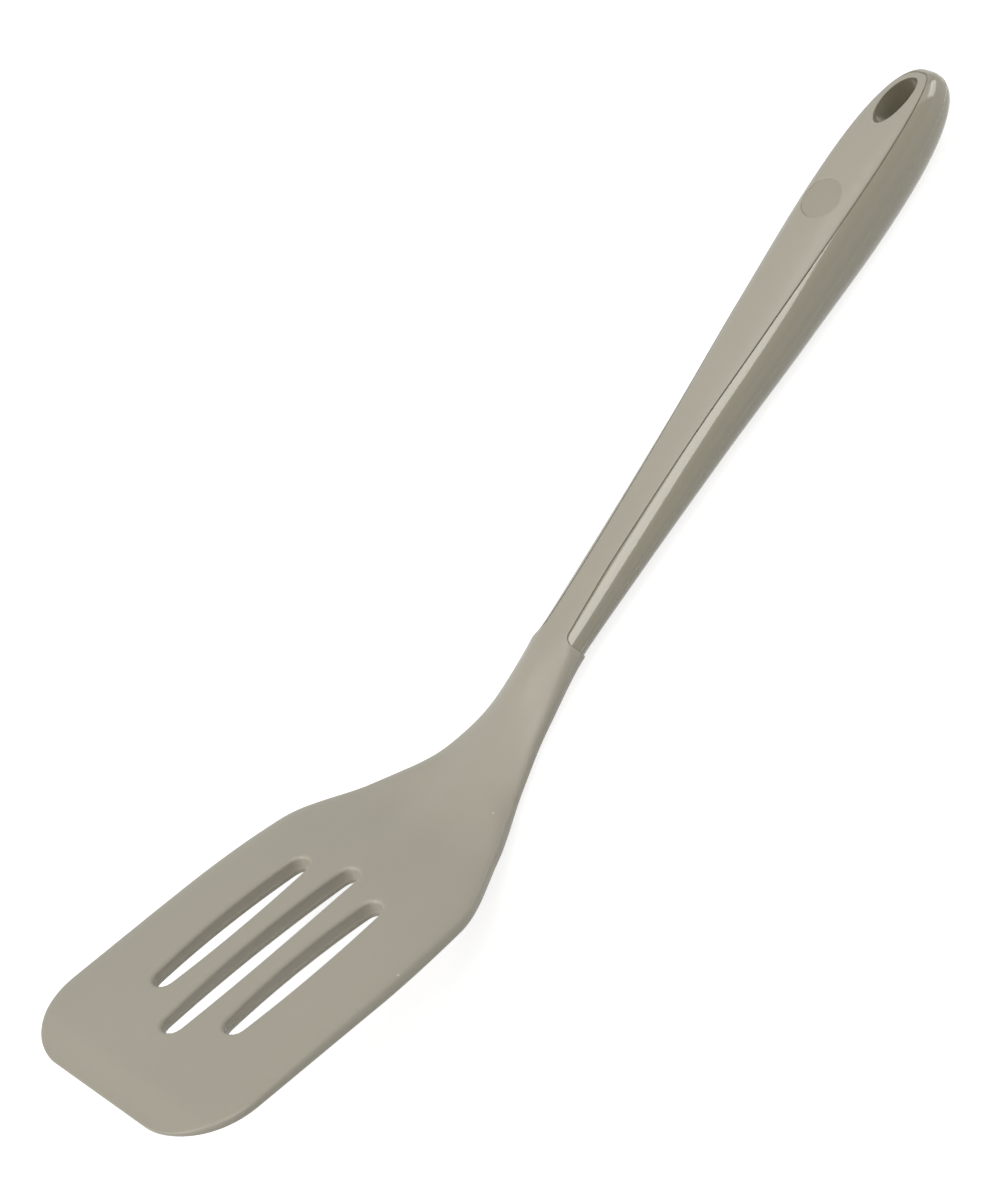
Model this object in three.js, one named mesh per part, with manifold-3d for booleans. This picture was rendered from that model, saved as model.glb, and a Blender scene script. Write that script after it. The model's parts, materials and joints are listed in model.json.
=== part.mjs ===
// Flexible slotted turner: a hard glossy nylon skeleton under a matte silicone over-mould.
// Millimetres, +Z up. Every piece is laid out along one spine, which runs from the front edge of the
// blade, round the bends in the neck, to the tip of the handle. The finished tool is then tipped into
// the pose in which it lies on a worktop, on the heel of the neck and the underside of the handle.

import * as THREE from 'three';
import { mergeVertices } from 'three/addons/utils/BufferGeometryUtils.js';
import Module from 'manifold-3d';

const wasm = await Module();
wasm.setup();

// Overall
const TOOL_LENGTH = 335; // along the spine, front edge to tip
const BEND_START = 101.3; // the neck turns up
const BEND_RADIUS = 85;
const NECK_RISE = 31; // degrees between the blade and the neck
const BACK_START = 156; // and turns back a little at the handle
const BACK_RADIUS = 60;
const HANDLE_RISE = 23.9; // degrees between the blade and the handle
const GAP = 0.3; // between neighbouring pieces

// Blade
const BLADE_WIDTH = 75.8; // at the shoulders
const FRONT_WIDTH = 76.2; // across the front corners
const CORNER_RADIUS = 20.3;
const LIP_TOP = 0.2; // heights are measured from the spine
const LIP_UNDER = 0.95;
const LIP_LENGTH = 10; // the front edge thins over this length
const BLADE_UNDER = 1.35; // flat underside
const CROWN_FRONT = 1.75; // top of the blade behind the lip
const CROWN_AT = 74; // the blade's thickest place
const CROWN_REAR = 4.5; // its top there
const LIP_DROP = 0.8; // behind the lip, the blade's sides lie this much lower than its middle
const EDGE_DROP_AT = 34;
const EDGE_DROP = 2; // beside the slots
const REAR_DROP = 3; // at the thickest place
const CROWN_POWER = 0.4; // how late the top falls away towards the sides
const RIM_SQUARENESS = 6; // how tightly the edge of a wide, thin section is rounded

// Slots
const SLOT_PITCH = 14.7;
const SLOT_WIDTH = 8.2; // half way along
const SLOT_END_RADIUS = 3;
const SLOT_REAR = 83.8; // rear end of the middle slot
const MIDDLE_SLOT_LENGTH = 62.2;
const SIDE_SLOT_LENGTH = 49.2;
const SIDE_SLOT_SETBACK = 4.5; // of the side slots' rear ends

// Flexing web behind the slots
const FLEX_START = 88;
const FLEX_LENGTH = 12;

// Shoulders and neck: places along the spine, widths and heights there
const SHOULDER_START = 57;
const SHOULDER_WIDE_AT = 86.5;
const SHOULDER_WIDE = 71.8;
const SHOULDER_AT = 108;
const SHOULDER_WIDTH = 49.8;
const SHOULDER_TOP = 2.9;
const SHOULDER_DROP = 1.8;
const SHOULDER_UNDER = 1.9;
const THROAT_AT = 127;
const THROAT_WIDTH = 28.8;
const WAIST_AT = 144;
const WAIST_WIDTH = 19;
const WAIST_TOP = 4.5;
const WAIST_UNDER = 4.3;
const WAIST_DROP = 0.3;
const NECK_END = 163; // the silicone sleeve stops here, proud of the handle
const SLEEVE_PROUD = 0.5;
const SLEEVE_WALL = 1.7;

// Handle: the stations are shares of the way from the neck to the widest place
const LOW_STATION = 0.18;
const MID_STATION = 0.47;
const HIGH_STATION = 0.74;
const HANDLE_NECK_WIDTH = 14.8;
const HANDLE_LOW_WIDTH = 15.5;
const HANDLE_MID_WIDTH = 17.5;
const HANDLE_HIGH_WIDTH = 21.3;
const GRIP_AT = 294; // the widest place
const GRIP_WIDTH = 22.7;
const HANDLE_NECK_HALF = 4.75; // half thickness
const HANDLE_LOW_HALF = 5.5;
const HANDLE_MID_HALF = 7.25;
const HANDLE_HIGH_HALF = 8.95;
const GRIP_HALF = 10.7;
const EDGE_POWER = 2.5; // squareness of the handle's section
const UNDERSIDE_FLAT = 0.95; // a narrow flat cuts the underside off at this share of its depth
const TIP_POWER = 2.6; // roundness of the handle's end
const END_FLAT_START = 275; // towards the end the handle's top flattens
const END_FLAT_AT = 310;
const END_FLAT = 0.86; // the flat cuts the top off at this share of its height

// Soft panels let into the handle's top and underside
const PANEL_THICKNESS = 1.6;
const SIDE_BAND_NECK = 4; // glossy side that shows beside the panel
const SIDE_BAND_MID = 4.3;
const SIDE_BAND_GRIP = 2.8;
const END_BAND = 3; // glossy end beyond the panel's tip
const PANEL_TIP_LENGTH = 36; // the stretch over which the panel rounds off
const GROOVE = 0.45; // open joint around each panel

// Hanging hole and the bare round recess in the top panel
const HOLE_SETBACK = 9.4; // the hole's middle, from the panel's tip
const HOLE_LENGTH = 15.6;
const HOLE_WIDTH = 7.4;
const RECESS_SETBACK = 41.6;
const RECESS_DIAMETER = 11.6;
const RECESS_DEPTH = 0.35;

// Hard core inside the silicone
const CORE_THICKNESS = 1.1;
const CORE_FRONT = 16; // set back from the blade's front edge
const CORE_RIM = 8; // silicone beyond the core's edge
const CORE_SLOT_WALL = 1.8; // silicone between slot and core

// Fineness of the facets
const COLUMNS = 16; // across a section
const PANEL_COLUMNS = 8;
const BLADE_ROWS = 7; // along each third of the blade
const FLEX_ROWS = 4;
const CORE_ROWS = 12;
const LONG_ROWS = 16; // along the neck and along the handle
const TIP_ROWS = 10; // where a form rounds off
const OVERCUT = 4; // cutters reach this far past a face

const FLEX_END = FLEX_START + FLEX_LENGTH;
const PANEL_TIP = TOOL_LENGTH - END_BAND;
const PANEL_STRAIGHT = PANEL_TIP - PANEL_TIP_LENGTH;
const HOLE_AT = PANEL_TIP - HOLE_SETBACK;
const RECESS_AT = PANEL_TIP - RECESS_SETBACK;
const BENDS = [
  { start: BEND_START, radius: BEND_RADIUS, turn: NECK_RISE },
  { start: BACK_START, radius: BACK_RADIUS, turn: HANDLE_RISE - NECK_RISE },
];

// Curves along the spine

// Smooth curve through [s, value] points that never overshoots them.
function profile(...points) {
  const slope = (i) => (points[i + 1][1] - points[i][1]) / (points[i + 1][0] - points[i][0]);
  const last = points.length - 1;
  const tangents = points.map((_, i) => {
    if (i === 0 || i === last) return 0;
    const [before, after] = [slope(i - 1), slope(i)];
    return before * after <= 0 ? 0 : (2 * before * after) / (before + after);
  });
  return (s) => {
    if (s <= points[0][0]) return points[0][1];
    if (s >= points[last][0]) return points[last][1];
    const i = points.findLastIndex((p) => p[0] <= s);
    const width = points[i + 1][0] - points[i][0];
    const t = (s - points[i][0]) / width;
    const fall = (1 + 2 * t) * (1 - t) ** 2;
    const leave = t * (1 - t) ** 2 * width * tangents[i];
    const arrive = t * t * (t - 1) * width * tangents[i + 1];
    return fall * points[i][1] + (1 - fall) * points[i + 1][1] + leave + arrive;
  };
}

// Rounds a value off to nothing between start and end, as a superellipse does.
function roundOff(s, start, end, power) {
  const share = THREE.MathUtils.clamp((s - start) / (end - start), 0, 1);
  return (1 - share ** power) ** (1 / power);
}

const alongHandle = (share) => NECK_END + (GRIP_AT - NECK_END) * share;
const handleHalfWidth = profile(
  [NECK_END, HANDLE_NECK_WIDTH / 2],
  [alongHandle(LOW_STATION), HANDLE_LOW_WIDTH / 2],
  [alongHandle(MID_STATION), HANDLE_MID_WIDTH / 2],
  [alongHandle(HIGH_STATION), HANDLE_HIGH_WIDTH / 2],
  [GRIP_AT, GRIP_WIDTH / 2],
);
const handleHalf = profile(
  [NECK_END, HANDLE_NECK_HALF],
  [alongHandle(LOW_STATION), HANDLE_LOW_HALF],
  [alongHandle(MID_STATION), HANDLE_MID_HALF],
  [alongHandle(HIGH_STATION), HANDLE_HIGH_HALF],
  [GRIP_AT, GRIP_HALF],
);
const topFlat = profile([END_FLAT_START, 1], [END_FLAT_AT, END_FLAT]);
const sideBand = profile(
  [NECK_END, SIDE_BAND_NECK],
  [alongHandle(MID_STATION), SIDE_BAND_MID],
  [PANEL_STRAIGHT, SIDE_BAND_GRIP],
);
const shoulders = profile(
  [SHOULDER_START, BLADE_WIDTH / 2],
  [SHOULDER_WIDE_AT, SHOULDER_WIDE / 2],
  [SHOULDER_AT, SHOULDER_WIDTH / 2],
  [THROAT_AT, THROAT_WIDTH / 2],
  [WAIST_AT, WAIST_WIDTH / 2],
  [NECK_END, HANDLE_NECK_WIDTH / 2 + SLEEVE_PROUD],
);
const sleeveTop = HANDLE_NECK_HALF + SLEEVE_PROUD;
const sleeveUnder = sleeveTop * UNDERSIDE_FLAT;
const crown = profile(
  [0, LIP_TOP],
  [LIP_LENGTH, CROWN_FRONT],
  [CROWN_AT, CROWN_REAR],
  [SHOULDER_AT, SHOULDER_TOP],
  [WAIST_AT, WAIST_TOP],
  [NECK_END, sleeveTop],
);
const under = profile(
  [0, LIP_UNDER],
  [LIP_LENGTH, BLADE_UNDER],
  [FLEX_START, BLADE_UNDER],
  [SHOULDER_AT, SHOULDER_UNDER],
  [WAIST_AT, WAIST_UNDER],
  [NECK_END, sleeveUnder],
);
const edgeDrop = profile(
  [0, 0],
  [LIP_LENGTH, LIP_DROP],
  [EDGE_DROP_AT, EDGE_DROP],
  [CROWN_AT, REAR_DROP],
  [SHOULDER_AT, SHOULDER_DROP],
  [WAIST_AT, WAIST_DROP],
  [NECK_END, 0],
);

// Half the tool's width in the blade and the neck.
function bladeHalfWidth(s) {
  if (s >= SHOULDER_START) return shoulders(s);
  const front = FRONT_WIDTH / 2;
  const spread = BLADE_WIDTH / 2 - front;
  const side = front + (spread * Math.max(0, s - CORNER_RADIUS)) / (SHOULDER_START - CORNER_RADIUS);
  const corner = Math.max(0, CORNER_RADIUS - s);
  return side - CORNER_RADIUS + Math.sqrt(CORNER_RADIUS ** 2 - corner ** 2);
}

// A section holds its half width, the heights of its crown and edges, its squareness and its flat top.
function softSection(s) {
  const half = bladeHalfWidth(s);
  const edge = crown(s) - edgeDrop(s);
  const power = EDGE_POWER + RIM_SQUARENESS * Math.max(0, half / (edge + under(s)) - 1);
  return { half, crown: crown(s), edge, under: under(s), power, flat: 1 };
}

function handleSection(s) {
  const half = handleHalfWidth(s) * roundOff(s, GRIP_AT, TOOL_LENGTH, TIP_POWER);
  const height = handleHalf(s) * roundOff(s, GRIP_AT, TOOL_LENGTH, TIP_POWER);
  const under = height * UNDERSIDE_FLAT;
  return { half, crown: height, edge: height, under, power: EDGE_POWER, flat: topFlat(s) };
}

// The core inside the neck: a flat tongue that fills out towards the handle.
const shankHalf = profile(
  [FLEX_END, CORE_THICKNESS / 2],
  [WAIST_AT, Math.min(WAIST_TOP, WAIST_UNDER) - SLEEVE_WALL],
  [NECK_END, Math.min(sleeveTop, sleeveUnder) - SLEEVE_WALL],
);
const shankInset = profile([FLEX_END, CORE_RIM], [WAIST_AT, SLEEVE_WALL], [NECK_END, SLEEVE_WALL]);
function shankSection(s, clearance = 0) {
  const half = bladeHalfWidth(s) - shankInset(s) + clearance;
  const height = shankHalf(s) + clearance;
  return { half, crown: height, edge: height, under: height, power: 2 * EDGE_POWER, flat: 1 };
}

// Height of a section's top and depth of its underside, at a share of its half width.
function rimOf(section, share) {
  return Math.sqrt(Math.max(0, 1 - Math.abs(share) ** section.power));
}

function topOf(section, share) {
  const ridge = (section.crown - section.edge) * (1 - share * share) ** CROWN_POWER;
  return section.edge * Math.min(section.flat, rimOf(section, share)) + ridge;
}

function underOf(section, share) {
  return section.under * Math.min(1, rimOf(section, share) / UNDERSIDE_FLAT);
}

// Solids

// The spine's place and tilt at a distance along it.
function spine(s) {
  const place = { x: 0, z: 0, tilt: 0 };
  let reached = 0;
  const goStraight = (to) => {
    place.x += (to - reached) * Math.cos(place.tilt);
    place.z += (to - reached) * Math.sin(place.tilt);
    reached = to;
  };
  for (const { start, radius, turn } of BENDS) {
    if (s <= start) break;
    goStraight(start);
    const whole = THREE.MathUtils.degToRad(turn);
    const part = Math.sign(whole) * Math.min((s - start) / radius, Math.abs(whole));
    const signed = Math.sign(whole) * radius;
    place.x += signed * (Math.sin(place.tilt + part) - Math.sin(place.tilt));
    place.z += signed * (Math.cos(place.tilt) - Math.cos(place.tilt + part));
    place.tilt += part;
    reached = start + Math.abs(part) * radius;
  }
  goStraight(s);
  return place;
}

function onSpine(s, y, height) {
  const { x, z, tilt } = spine(s);
  return new THREE.Vector3(x - height * Math.sin(tilt), y, z + height * Math.cos(tilt));
}

// A closed solid from a geometry's shared vertices.
function solid(geometry) {
  geometry.deleteAttribute('normal');
  geometry.deleteAttribute('uv');
  const merged = mergeVertices(geometry, 1e-4);
  const triangles = [];
  for (let i = 0; i < merged.index.count; i += 3) {
    const [a, b, c] = [0, 1, 2].map((k) => merged.index.getX(i + k));
    if (a !== b && b !== c && c !== a) triangles.push(a, b, c);
  }
  const vertProperties = new Float32Array(merged.attributes.position.array);
  const triVerts = new Uint32Array(triangles);
  return new wasm.Manifold(new wasm.Mesh({ numProp: 3, vertProperties, triVerts }));
}

// Skins a row of sections. Each section is its top line and its bottom line, from side to side.
function loft(sections) {
  const columns = sections[0].top.length;
  const ring = 2 * columns;
  const points = sections.flatMap(({ top, bottom }) => [...top, ...bottom.toReversed()]);
  const index = [];
  const quad = (a, b, c, d) => index.push(a, b, c, a, c, d);
  for (let row = 0; row + 1 < sections.length; row += 1) {
    for (let k = 0; k < ring; k += 1) {
      const next = (k + 1) % ring;
      quad(row * ring + k, row * ring + next, (row + 1) * ring + next, (row + 1) * ring + k);
    }
  }
  const end = (sections.length - 1) * ring;
  for (let k = 0; k + 1 < columns; k += 1) {
    const [under0, under1] = [ring - 1 - k, ring - 2 - k];
    quad(k, under0, under1, k + 1);
    quad(end + k, end + k + 1, end + under1, end + under0);
  }
  const geometry = new THREE.BufferGeometry().setFromPoints(points);
  geometry.setIndex(index);
  return solid(geometry);
}

// Shares of the half width, closer together towards the rounded edges.
const shares = Array.from({ length: COLUMNS + 1 }, (_, k) => {
  return Math.sin((Math.PI / 2) * ((2 * k) / COLUMNS - 1));
});

function wholeSection(s, section) {
  const top = shares.map((share) => onSpine(s, -share * section.half, topOf(section, share)));
  const bottom = shares.map((share) => onSpine(s, -share * section.half, -underOf(section, share)));
  return { top, bottom };
}

function steps(from, to, count) {
  return Array.from({ length: count + 1 }, (_, k) => from + ((to - from) * k) / count);
}

// Steps that crowd together towards the end, for a form that rounds off there.
function crowdedSteps(from, to, count) {
  return steps(0, Math.PI / 2, count).map((angle) => from + (to - from) * Math.sin(angle));
}

function extruded(shape, thickness) {
  const geometry = new THREE.ExtrudeGeometry(shape, { depth: thickness, bevelEnabled: false, curveSegments: 12 });
  return geometry.translate(0, 0, -thickness / 2);
}

// A through cut square to the handle's surface.
function cutAcross(shape, s, thickness) {
  const { x, z, tilt } = spine(s);
  return solid(extruded(shape, thickness).rotateY(-tilt).translate(x, 0, z));
}

// Slots: a round end, a side that swells a little, and the other end.
function slotShape(rear, length, y, margin = 0) {
  const radius = SLOT_END_RADIUS + margin;
  const swell = SLOT_WIDTH / 2 + margin;
  const reach = length / 2 + margin - radius;
  const middle = rear - length / 2;
  const lean = Math.atan((2 * (swell - radius)) / reach);
  const quarter = Math.PI / 2 - lean;
  const side = radius * Math.sin(quarter);
  const shape = new THREE.Shape();
  shape.absarc(middle + reach, y, radius, -quarter, quarter, false);
  shape.quadraticCurveTo(middle, y + 2 * swell - side, middle - reach - radius * Math.cos(quarter), y + side);
  shape.absarc(middle - reach, y, radius, Math.PI - quarter, Math.PI + quarter, false);
  shape.quadraticCurveTo(middle, y - 2 * swell + side, middle + reach + radius * Math.cos(quarter), y - side);
  return shape;
}

function slotCutters(margin) {
  const slots = [
    [SLOT_REAR, MIDDLE_SLOT_LENGTH, 0],
    [SLOT_REAR - SIDE_SLOT_SETBACK, SIDE_SLOT_LENGTH, SLOT_PITCH],
    [SLOT_REAR - SIDE_SLOT_SETBACK, SIDE_SLOT_LENGTH, -SLOT_PITCH],
  ];
  const depth = 2 * (CROWN_REAR + OVERCUT);
  return slots.map(([rear, length, y]) => solid(extruded(slotShape(rear, length, y, margin), depth)));
}

function cutAll(body, cutters) {
  return cutters.reduce((left, cutter) => left.subtract(cutter), body);
}

// The thin core follows the blade's outline, inside its rim.
function corePlate(from, to, clearance) {
  const height = CORE_THICKNESS / 2 + clearance;
  const sections = steps(from - clearance, to, CORE_ROWS).map((s) => {
    const half = bladeHalfWidth(s) - CORE_RIM + clearance;
    const line = (level) => [onSpine(s, half, level), onSpine(s, -half, level)];
    return { top: line(height), bottom: line(-height) };
  });
  return loft(sections);
}

// Pieces

const bladeRows = [
  ...crowdedSteps(CORNER_RADIUS, 0, BLADE_ROWS).toReversed(),
  ...steps(CORNER_RADIUS, SHOULDER_START, BLADE_ROWS).slice(1),
  ...steps(SHOULDER_START, FLEX_START - GAP / 2, BLADE_ROWS).slice(1),
];

function bladeSkin() {
  const body = loft(bladeRows.map((s) => wholeSection(s, softSection(s))));
  const pocket = cutAll(corePlate(CORE_FRONT, FLEX_START + OVERCUT, GAP), slotCutters(CORE_SLOT_WALL - GAP));
  return cutAll(body, [...slotCutters(0), pocket]);
}

function bladeCore() {
  return cutAll(corePlate(CORE_FRONT, FLEX_START - GAP / 2, 0), slotCutters(CORE_SLOT_WALL));
}

function flexSkin() {
  const rows = steps(FLEX_START + GAP / 2, FLEX_END - GAP / 2, FLEX_ROWS);
  const body = loft(rows.map((s) => wholeSection(s, softSection(s))));
  return body.subtract(corePlate(FLEX_START - OVERCUT, FLEX_END + OVERCUT, GAP));
}

function flexTongue() {
  return corePlate(FLEX_START + GAP / 2, FLEX_END - GAP / 2, 0);
}

function neckSleeve() {
  const rows = steps(FLEX_END + GAP / 2, NECK_END, LONG_ROWS);
  const body = loft(rows.map((s) => wholeSection(s, softSection(s))));
  const bore = steps(FLEX_END - OVERCUT, NECK_END + OVERCUT, LONG_ROWS);
  return body.subtract(loft(bore.map((s) => wholeSection(s, shankSection(s, GAP)))));
}

// Half the width of a panel: the handle's, less the band of glossy side, and round at the tip.
function panelHalfWidth(s) {
  const straight = handleHalfWidth(s) - sideBand(s);
  return straight * roundOff(s, PANEL_STRAIGHT, PANEL_TIP, TIP_POWER);
}

// A panel between two heights: grow widens it, and lift raises its face above the handle's.
function panel(side, from, grow, lift) {
  const tip = PANEL_TIP + grow;
  const rows = [
    ...steps(from, PANEL_STRAIGHT, LONG_ROWS),
    ...crowdedSteps(PANEL_STRAIGHT, tip - GAP, TIP_ROWS).slice(1),
  ];
  const across = steps(-1, 1, PANEL_COLUMNS);
  const surface = side > 0 ? topOf : underOf;
  const sections = rows.map((s) => {
    const section = handleSection(s);
    const half = panelHalfWidth(Math.min(s, PANEL_TIP - GAP)) + grow;
    const face = across.map((share) => surface(section, Math.min(1, (share * half) / section.half)));
    const line = (offset) => across.map((share, k) => onSpine(s, -share * half, side * (face[k] + offset)));
    const outer = line(lift);
    const inner = line(-PANEL_THICKNESS - grow);
    return side > 0 ? { top: outer, bottom: inner } : { top: inner, bottom: outer };
  });
  return loft(sections);
}

const holeShape = new THREE.Shape();
holeShape.absellipse(0, 0, HOLE_LENGTH / 2, HOLE_WIDTH / 2, 0, 2 * Math.PI);
const recessShape = new THREE.Shape();
recessShape.absarc(0, 0, RECESS_DIAMETER / 2, 0, 2 * Math.PI);
const throughHandle = 2 * (GRIP_HALF + OVERCUT);
const hangingHole = cutAcross(holeShape, HOLE_AT, throughHandle);

function handleCore() {
  const shank = steps(FLEX_END + GAP / 2, NECK_END + GAP, LONG_ROWS);
  const grip = [
    ...steps(NECK_END + GAP, GRIP_AT, LONG_ROWS),
    ...crowdedSteps(GRIP_AT, TOOL_LENGTH - GAP, TIP_ROWS).slice(1),
  ];
  const rows = [
    ...shank.map((s) => wholeSection(s, shankSection(s))),
    ...grip.map((s) => wholeSection(s, handleSection(s))),
  ];
  const pockets = [1, -1].map((side) => panel(side, NECK_END - OVERCUT, GROOVE, OVERCUT));
  return cutAll(loft(rows), [...pockets, hangingHole]);
}

function gripPanel(side) {
  return panel(side, NECK_END + GAP, 0, 0).subtract(hangingHole);
}

// The recess follows the panel's crown, so its floor is the handle's surface moved inwards.
function recessCutter() {
  const reach = RECESS_DIAMETER / 2 + OVERCUT;
  const floor = steps(RECESS_AT - reach, RECESS_AT + reach, PANEL_COLUMNS).map((s) => {
    const section = handleSection(s);
    const height = section.crown - RECESS_DEPTH;
    return wholeSection(s, { ...section, crown: height, edge: height });
  });
  return cutAcross(recessShape, RECESS_AT, throughHandle).subtract(loft(floor));
}

function topGripPanel() {
  const face = panel(1, NECK_END + GAP, 0, OVERCUT);
  return gripPanel(1).subtract(recessCutter().intersect(face));
}

// Assembly

const silicone = { color: 0xaca798, roughness: 0.62, metalness: 0 };
const nylon = { color: 0x9c9784, roughness: 0.25, metalness: 0 };

function piece(name, body, finish) {
  const { vertProperties, triVerts } = body.getMesh();
  const geometry = new THREE.BufferGeometry();
  geometry.setAttribute('position', new THREE.BufferAttribute(new Float32Array(vertProperties), 3));
  geometry.setIndex(new THREE.BufferAttribute(new Uint32Array(triVerts), 1));
  geometry.computeVertexNormals();
  const mesh = new THREE.Mesh(geometry, new THREE.MeshStandardMaterial(finish));
  mesh.name = name;
  return mesh;
}

const blade = new THREE.Group();
blade.add(piece('blade_skin', bladeSkin(), silicone), piece('blade_core', bladeCore(), nylon));

const handle = new THREE.Group();
handle.add(
  piece('flex_skin', flexSkin(), silicone),
  piece('flex_tongue', flexTongue(), nylon),
  piece('neck_sleeve', neckSleeve(), silicone),
  piece('handle_core', handleCore(), nylon),
  piece('top_grip_panel', topGripPanel(), silicone),
  piece('bottom_grip_panel', gripPanel(-1), silicone),
);

// The tool lies on the longest edge of its lower outline: heel of the neck to underside of the grip.
function restAngle(meshes) {
  const points = meshes.flatMap(({ geometry: { attributes } }) => {
    const place = attributes.position;
    return Array.from({ length: place.count }, (_, i) => [place.getX(i), place.getZ(i)]);
  });
  points.sort((a, b) => a[0] - b[0] || a[1] - b[1]);
  const hull = [];
  for (const p of points) {
    while (hull.length > 1) {
      const [a, b] = hull.slice(-2);
      if ((b[0] - a[0]) * (p[1] - a[1]) > (b[1] - a[1]) * (p[0] - a[0])) break;
      hull.pop();
    }
    hull.push(p);
  }
  const edges = hull.slice(1).map((p, i) => [p[0] - hull[i][0], p[1] - hull[i][1]]);
  edges.sort((a, b) => b[0] - a[0]);
  return Math.atan2(edges[0][1], edges[0][0]);
}

const tool = new THREE.Group();
tool.add(blade, handle);
tool.rotation.y = restAngle([...blade.children, ...handle.children]);

const turner = new THREE.Group();
turner.add(tool);
turner.updateMatrixWorld(true);
const box = new THREE.Box3().setFromObject(tool, true);
const centre = box.getCenter(new THREE.Vector3());
tool.position.set(-centre.x, -centre.y, -box.min.z);

export default turner;
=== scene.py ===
# %% [markdown]
# # A flexible slotted turner
# On the bench this tool is two mouldings. A hard, glossy nylon skeleton gives the handle its sides and
# its end, and runs on as a thin plate inside the blade. A matte silicone skin is moulded over it: the
# blade, the neck and the two soft panels of the handle are one piece of it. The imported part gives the
# frame, the joint and the sizes. Here its nodes are dressed with finer meshes and with materials that
# are made of shader nodes only.

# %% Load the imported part
import json
import math

import bmesh
import bpy
import numpy as np
from mathutils import Matrix, Vector
from mathutils.geometry import delaunay_2d_cdt


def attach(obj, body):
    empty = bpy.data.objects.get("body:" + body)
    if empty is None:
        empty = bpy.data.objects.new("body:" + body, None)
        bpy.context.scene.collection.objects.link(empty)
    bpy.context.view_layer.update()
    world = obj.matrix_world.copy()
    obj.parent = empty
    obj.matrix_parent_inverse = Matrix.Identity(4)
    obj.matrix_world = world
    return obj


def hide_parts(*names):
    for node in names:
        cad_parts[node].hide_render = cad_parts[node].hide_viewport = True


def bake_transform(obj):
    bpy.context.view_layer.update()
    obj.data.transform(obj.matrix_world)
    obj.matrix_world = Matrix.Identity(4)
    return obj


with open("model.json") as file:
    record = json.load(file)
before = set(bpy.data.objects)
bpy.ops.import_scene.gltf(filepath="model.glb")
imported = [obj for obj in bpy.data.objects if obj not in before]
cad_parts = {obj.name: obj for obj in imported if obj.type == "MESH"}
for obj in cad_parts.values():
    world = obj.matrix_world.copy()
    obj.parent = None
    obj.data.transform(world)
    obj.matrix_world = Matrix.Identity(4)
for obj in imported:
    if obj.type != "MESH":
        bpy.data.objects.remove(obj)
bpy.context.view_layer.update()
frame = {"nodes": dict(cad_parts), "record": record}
print("nodes of the part:", ", ".join(sorted(frame["nodes"])))

# %% [markdown]
# ## One spine for every piece
# The whole tool follows one bent line. It starts at the front edge of the blade, runs straight through
# it, turns up in the neck and a little back again at the handle. Each form below is written as a place
# along that spine, a distance to the side and a height above it, all in millimetres. The part's record
# says how the tool lies, so the last step tips the millimetres into the part's own frame in metres.

# %% The spine
TOOL_LENGTH = 334.6
BENDS = ((101.3, 85, 31), (156, 60, -7.1))  # start, radius, degrees of turn
FLEX_AT = 94  # the place along the spine where the blade's joint lies


def spine(s):
    """Place and tilt of the spine at a distance along it."""
    x = z = tilt = np.zeros_like(s, dtype=float)
    heading = end = 0.0
    for start, radius, degrees in BENDS:
        straight = np.clip(s - end, 0, start - end)
        turn = math.radians(degrees)
        bow = math.copysign(radius, turn)
        part = np.clip((s - start) / radius, 0, abs(turn)) * math.copysign(1, turn)
        x = x + straight * math.cos(heading) + bow * (np.sin(heading + part) - math.sin(heading))
        z = z + straight * math.sin(heading) + bow * (math.cos(heading) - np.cos(heading + part))
        tilt = tilt + part
        heading += turn
        end = start + radius * abs(turn)
    straight = np.maximum(s - end, 0)
    return x + straight * math.cos(heading), z + straight * math.sin(heading), tilt


facing = frame["record"]["mounts"][0]["axis"]
tip_angle = math.atan2(-facing[0], -facing[2])
tipped = np.array(Matrix.Rotation(tip_angle, 3, "Y"))
pivot_x, pivot_z, _ = spine(np.array(FLEX_AT))
joint_at = np.array(frame["record"]["behaviour"]["joints"][0]["pos_m"])
shift = joint_at - tipped @ np.array([pivot_x, 0, pivot_z]) / 1000


def place(s, y, height):
    """Row-frame points, in metres, from millimetres along, beside and above the spine."""
    s, y, height = np.broadcast_arrays(np.asarray(s, float), y, height)
    x, z, tilt = spine(s)
    points = np.stack([x - height * np.sin(tilt), y, z + height * np.cos(tilt)], -1)
    return points @ tipped.T / 1000 + shift


print("tipped by", round(math.degrees(tip_angle), 2), "degrees")
print("tip of the handle at", place(TOOL_LENGTH, 0, 0))

# %% [markdown]
# ## Widths and heights along the spine
# A turner is easiest to describe as a row of sections. Smooth curves through a few stations give the
# half width, the height of the top and the depth of the underside at each place. The sections
# themselves are superellipses: tight round rims where the blade is wide and thin, and ovals where the
# neck and the handle fill out.

# %% Curves along the spine
NECK_END = 163  # the skin's sleeve stops here, proud of the handle
SLEEVE_HEIGHT = 5.25  # its height above the spine there
NECK_HALF = 7.4  # half the handle's width behind it
GRIP_AT = 294  # the widest place of the handle
SHOULDER_START = 57
BLADE_HALF = 37.9  # half the blade's width where the shoulders start
FLAT = 0.95  # a narrow flat cuts the underside off at this share of its depth
END_POWER = 2.6  # squareness of the handle's end, seen from above


def profile(*stations):
    """A smooth curve through (place, value) stations that never overshoots them."""
    at, value = np.array(stations, float).T
    slope = np.diff(value) / np.diff(at)
    agree = slope[:-1] * slope[1:] > 0
    both = np.where(agree, slope[:-1] + slope[1:], 1)
    tangent = np.zeros(len(at))
    tangent[1:-1] = np.where(agree, 2 * slope[:-1] * slope[1:] / both, 0)

    def curve(s):
        s = np.clip(s, at[0], at[-1])
        i = np.clip(np.searchsorted(at, s, "right") - 1, 0, len(at) - 2)
        width = at[i + 1] - at[i]
        t = (s - at[i]) / width
        fall = (1 + 2 * t) * (1 - t) ** 2
        bend = t * (1 - t) * width * ((1 - t) * tangent[i] - t * tangent[i + 1])
        return fall * value[i] + (1 - fall) * value[i + 1] + bend

    return curve


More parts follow.
